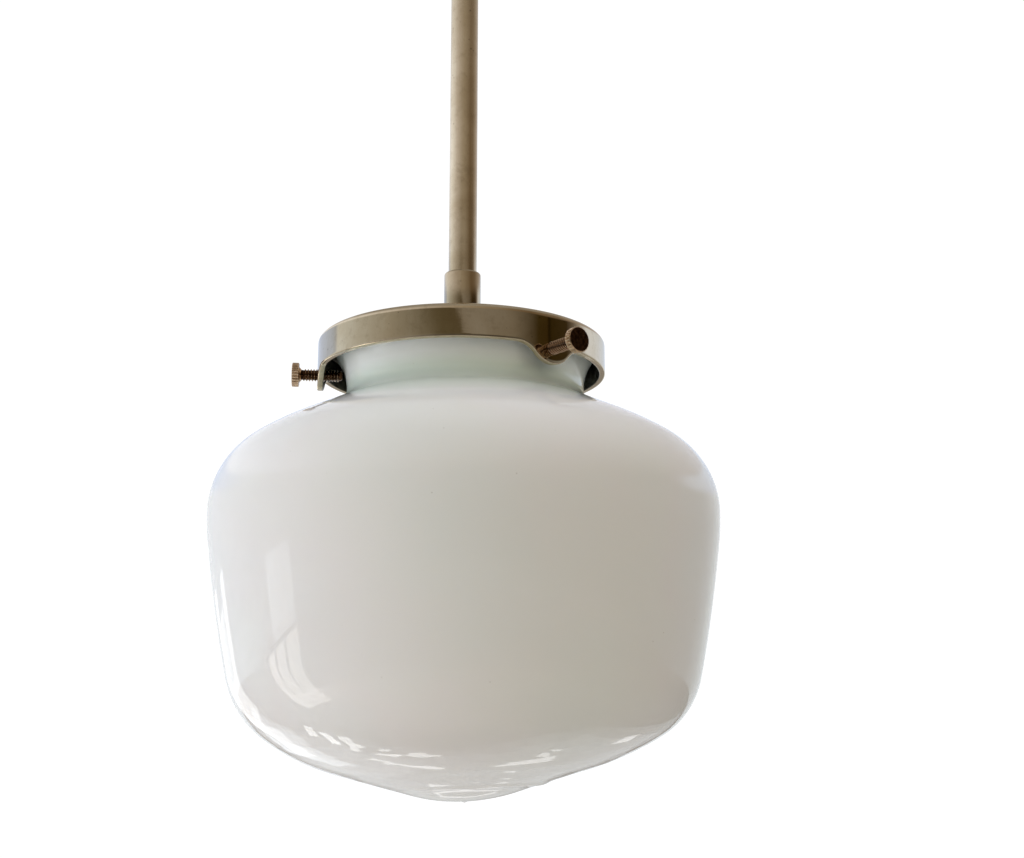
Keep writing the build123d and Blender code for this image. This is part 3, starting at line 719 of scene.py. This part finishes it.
def knurled(depth):
    rim = knob_radius if depth else knob_radius - knob_edge

    def radius_at(share):
        phase = (share * knurls) % 1
        dip = max(0.0, 1 - abs(phase - 0.5) * knurl_steepness)
        return rim - knurl_depth * depth * dip
    return radius_at


def screw_rows():
    """The heights and radii of the screw, from the middle of its tip to its knob's face."""
    thread_end = screw_length - screw_neck
    count = round((thread_end - screw_tip) / screw_pitch * rows_per_pitch)
    rows = [(0, plain(screw_root - screw_tip))]
    for k in range(count + 1):
        z = screw_tip + (thread_end - screw_tip) * k / count
        rows.append((z, threaded(z, min(1.0, k / fade_rows, (count - k) / fade_rows))))
    rows += [
        (screw_length - flare, plain(screw_radius)),
        (screw_length - 0.0001, plain(screw_radius + flare)),
        (screw_length, plain(knob_radius - knob_seat)),
        (screw_length, knurled(0)),
    ]
    rows += [(screw_length + knob_height * share, knurled(depth)) for share, depth in knurl_rows]
    face = screw_length + knob_height
    rows.append((face, knurled(0)))
    rows += [(face, plain(knob_radius * share)) for share in (0.86, 0.5, 0.2)]
    return rows


def make_thumbscrew(name, angle, backed_off):
    bm = bmesh.new()
    columns = knurls * columns_per_knurl
    rings = [[bm.verts.new((0, 0, 0))]]
    for z, radius_at in screw_rows():
        ring = []
        for k in range(columns):
            radius = radius_at(k / columns)
            turn = 2 * pi * k / columns
            ring.append(bm.verts.new((radius * cos(turn), radius * sin(turn), z)))
        rings.append(ring)
    rings.append([bm.verts.new((0, 0, screw_length + knob_height))])
    join_rings(bm, rings, closed=False)
    bronze = materials["screw_bronze"]
    place = around(angle, tip_reach(angle) + backed_off, edge - screw_below_edge)
    return new_piece("knurled_" + name, bm, bronze, name, name, 28, place)


# Stem and collar
tube_segments = 96
stem_rows = 60


def make_stem():
    low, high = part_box("stem")
    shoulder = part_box("swivel_tongue")[0].z
    bore = thread_radius - thread_wall
    wall = between((stem_radius, low.z), (stem_radius, shoulder), stem_rows)
    points = rounded([
        (bore, low.z, 0), (stem_radius, low.z, small_edge), *[(r, z, 0) for r, z in wall],
        (stem_radius, shoulder, small_edge), (thread_radius, shoulder, 0),
        (thread_radius, high.z, small_edge), (bore, high.z, 0),
    ])
    bm = lathe(points, tube_segments)
    return new_piece("nickel_stem", bm, stem_nickel, "pendant", "stem")


def make_collar():
    low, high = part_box("collar")
    stem_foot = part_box("stem")[0].z
    points = rounded([
        (thread_radius, stem_foot, 0), (thread_radius, low.z, small_edge / 2),
        (collar_radius, low.z, small_edge), (collar_radius, high.z, collar_edge),
        (stem_radius, high.z, small_edge), (stem_radius, stem_foot, 0),
    ])
    bm = lathe(points, tube_segments)
    return new_piece("nickel_collar", bm, collar_nickel, "pendant", "collar")


make_globe()
make_fitter()
make_thumbscrew("thumbscrew_left", ear_angles[0], 0.0)
make_thumbscrew("thumbscrew_front", ear_angles[1], front_backed_off)
make_thumbscrew("thumbscrew_back", ear_angles[2], 0.0)
make_stem()
make_collar()

# CAD nodes get their slot's material
for part in frame["record"]["subparts"]:
    node_mesh = frame["nodes"][part["node"]].data
    node_mesh.materials.clear()
    node_mesh.materials.append(materials[part["material_slot"]])


# Studio
floor_height = -1.3
floor_radius = 5.0


def make_floor():
    mesh = bpy.data.meshes.new("studio_floor")
    bm = bmesh.new()
    bmesh.ops.create_circle(bm, cap_ends=True, segments=128, radius=floor_radius)
    bm.to_mesh(mesh)
    bm.free()
    floor = bpy.data.objects.new("studio_floor", mesh)
    floor.location.z = floor_height
    scene.collection.objects.link(floor)
    material = plain_surface("studio_floor", (0.62, 0.59, 0.54), (0.59, 0.56, 0.51), 0.6, 3, 0.0001)
    mesh.materials.append(material)


# What stands round the lamp: degrees from the camera's side towards +X, and colour.
# The glass sees what is level with it, the fitter and the collar the walls, the stem what is above.
# Each list has a stop at -90, where its ramp starts and ends.
level = [
    (-130, (0.82, 0.88, 0.93)), (-90, (0.70, 0.73, 0.76)), (-55, (0.40, 0.39, 0.37)),
    (-15, (0.12, 0.11, 0.09)), (30, (0.10, 0.09, 0.07)), (70, (0.16, 0.15, 0.13)),
    (100, (0.38, 0.38, 0.37)), (128, (0.56, 0.58, 0.58)), (150, (0.86, 0.90, 0.92)),
    (-170, (0.90, 0.94, 0.97)),
]
walls = [
    (-150, (0.66, 0.76, 0.98)), (-124, (0.62, 0.73, 0.96)), (-119, (0.56, 0.63, 0.76)),
    (-115, (0.84, 0.90, 0.95)), (-90, (0.62, 0.64, 0.63)), (-60, (0.42, 0.40, 0.35)),
    (-16, (0.135, 0.11, 0.065)), (0, (0.115, 0.09, 0.05)), (2, (0.28, 0.25, 0.21)),
    (14, (0.31, 0.285, 0.25)), (40, (0.24, 0.21, 0.17)), (62, (0.055, 0.036, 0.01)),
    (70.8, (0.05, 0.03, 0.008)), (72.2, (0.004, 0.002, 0.0)), (73.6, (0.04, 0.025, 0.006)),
    (90, (0.05, 0.033, 0.012)), (98, (0.17, 0.14, 0.11)), (106, (0.42, 0.40, 0.38)),
    (117, (0.90, 0.98, 1.14)), (130, (0.92, 1.01, 1.16)), (160, (0.76, 0.84, 0.97)),
]
above_walls = [
    (-120, (1.20, 1.25, 1.35)), (-90, (1.06, 1.08, 1.14)), (-50, (0.72, 0.68, 0.66)),
    (0, (0.44, 0.38, 0.30)), (55, (0.20, 0.14, 0.08)), (82, (0.24, 0.18, 0.12)),
    (110, (0.44, 0.38, 0.33)), (150, (0.70, 0.68, 0.72)),
]
ceiling = (0.40, 0.38, 0.35)

# Between which degrees above the horizon one gives way to the next
level_top = (11.0, 14.0)
wall_top = (18.7, 20.6)
ceiling_from = (24.0, 50.0)

# The walls' dark side ends in front of the lamp in a ragged line that leans: its raggedness in degrees,
# and how far it is turned at two heights. Only the walls near it move.
ragged_edge = 12.0
lean_rises = (15.8, 18.6)
lean_turns = (-11.0, 3.5)
lean_near = [(-60, black), (-25, white), (25, white), (45, black)]
backdrop_brightness = 1.05


def make_world():
    world = bpy.data.worlds.new("studio")
    scene.world = world
    world.use_nodes = True
    world.node_tree.nodes.clear()
    nodes = Nodes(world.node_tree, "Generated")
    gradient = nodes.node("ShaderNodeTexGradient", gradient_type="RADIAL")
    nodes.link(nodes.place, gradient.inputs["Vector"])
    azimuth = gradient.outputs["Fac"]
    height = nodes.axis("Z")

    def by_height(degrees, to_low, to_high):
        return nodes.spread(height, sin(radians(degrees[0])), sin(radians(degrees[1])), to_low, to_high)

    def band(surroundings, turn=azimuth):
        stops = sorted(((0.25 + angle / 360) % 1, colour) for angle, colour in surroundings)
        return nodes.ramp(turn, [*stops, (1.0, stops[0][1])])

    ragged = nodes.noise(1, 2, 0.5, stretch=(12, 12, 800))
    lean = by_height(lean_rises, lean_turns[0] / 360, lean_turns[1] / 360)
    uneven = nodes.math("MULTIPLY_ADD", ragged, ragged_edge / 360, lean)
    shifted = nodes.math("MULTIPLY_ADD", uneven, band(lean_near), azimuth)
    room = nodes.mix(by_height(level_top, 0, 1), band(level), band(walls, shifted))
    room = nodes.mix(by_height(wall_top, 0, 1), room, band(above_walls))
    room = nodes.mix(by_height(ceiling_from, 0, 1), room, ceiling)

    # The camera sees a plain bright backdrop, and all else sees the room
    surround = nodes.node("ShaderNodeBackground")
    nodes.link(room, surround.inputs["Color"])
    backdrop = nodes.node("ShaderNodeBackground")
    backdrop.inputs["Color"].default_value = (*white, 1)
    backdrop.inputs["Strength"].default_value = backdrop_brightness
    path = nodes.node("ShaderNodeLightPath")
    either = nodes.node("ShaderNodeMixShader")
    nodes.link(path.outputs["Is Camera Ray"], either.inputs["Fac"])
    nodes.link(surround.outputs["Background"], either.inputs[1])
    nodes.link(backdrop.outputs["Background"], either.inputs[2])
    nodes.link(either.outputs["Shader"], nodes.node("ShaderNodeOutputWorld").inputs["Surface"])


# Lights face the middle of the glass
glass_middle = Vector((0, 0, edge - 0.08))
pane_distance = 0.8


def add_light(name, location, size, power, colour):
    data = bpy.data.lights.new(name, "AREA")
    data.shape = "RECTANGLE"
    data.size, data.size_y = size
    data.energy = power
    data.color = colour
    lamp = bpy.data.objects.new(name, data)
    lamp.location = location
    lamp.rotation_euler = (glass_middle - Vector(location)).to_track_quat("-Z", "Y").to_euler()
    lamp.visible_camera = False
    scene.collection.objects.link(lamp)
    return lamp


def add_pane(name, turns, rises, brightness, colour):
    """A window pane that only shows in reflections. Its sides are given as seen from the glass: degrees
    from the camera's side towards +X, and degrees above the horizon."""
    turn = radians(sum(turns) / 2)
    rise = radians(sum(rises) / 2)
    ahead = Vector((sin(turn) * cos(rise), -cos(turn) * cos(rise), sin(rise)))
    width = 2 * pane_distance * tan(radians(turns[1] - turns[0]) / 2) * cos(rise)
    height = 2 * pane_distance * tan(radians(rises[1] - rises[0]) / 2)
    power = brightness * pi * width * height
    pane = add_light(name, glass_middle + ahead * pane_distance, (width, height), power, colour)
    pane.visible_diffuse = False


make_floor()
make_world()
for name, location, size, power, colour in (
    ("soft_left", (-1.45, -0.15, -0.95), (0.8, 0.9), 10.8, (1.0, 0.97, 1.0)),
    ("soft_high_left", (-1.2, -0.9, 0.1), (1.2, 1.2), 5.0, (0.64, 0.86, 1.0)),
    ("soft_front", (0.0, -1.6, -0.3), (1.2, 1.2), 3.8, (1.0, 0.78, 0.55)),
    ("soft_front_right", (1.0, -1.3, -0.2), (1.2, 1.2), 4.7, (1.0, 1.0, 0.9)),
    ("soft_top", (0.1, 0.2, 1.2), (1.5, 1.5), 18.4, (0.91, 0.935, 1.0)),
):
    add_light(name, location, size, power, colour).visible_glossy = False

# The window at the left, the doorway behind it and what lies behind the lamp and below
sky = (0.86, 0.94, 1.0)
blind = (1.0, 0.96, 0.90)
panes = {
    "window": [
        ((-92, -77), (-11, -2.5), 1.15, sky), ((-98, -93), (-42, -11.5), 1.9, blind),
        ((-92.3, -86), (-42, -11.5), 1.9, blind), ((-85.3, -77), (-42, -11.5), 1.9, blind),
        ((-136, -122), (-46.5, -44), 2.6, white), ((-141, -126), (-50.5, -48), 3.0, white),
        ((-146, -132), (-55, -52), 2.4, white),
    ],
    "doorway": [
        ((-150, -146), (-8, 3), 1.2, white), ((-145, -136), (-8, 0), 0.6, white),
        ((-135, -130), (-8, 2), 1.1, white), ((-150, -130), (-24, -8), 1.1, white),
        ((-162, -132), (-38, -20), 0.65, sky), ((-158, -140), (-32, -24), 0.6, white),
    ],
    "behind": [
        ((140, 222), (-66, -16), 0.32, sky), ((150, 212), (-58, -20), 0.22, sky),
        ((-172, -140), (-52, -24), 0.18, sky), ((149, 154), (-34, -30), 1.1, white),
        ((160, 172), (-46, -42), 1.2, white), ((-178, -160), (-48, -45), 1.4, white),
        ((-176, -163), (-59.5, -57), 2.0, white), ((-162, -152), (-57, -54), 2.2, white),
        ((172, 184), (-33, -30), 0.8, white),
    ],
}
for group, members in panes.items():
    for index, (turns, rises, brightness, colour) in enumerate(members):
        add_pane(f"{group}_{index}", turns, rises, brightness, colour)
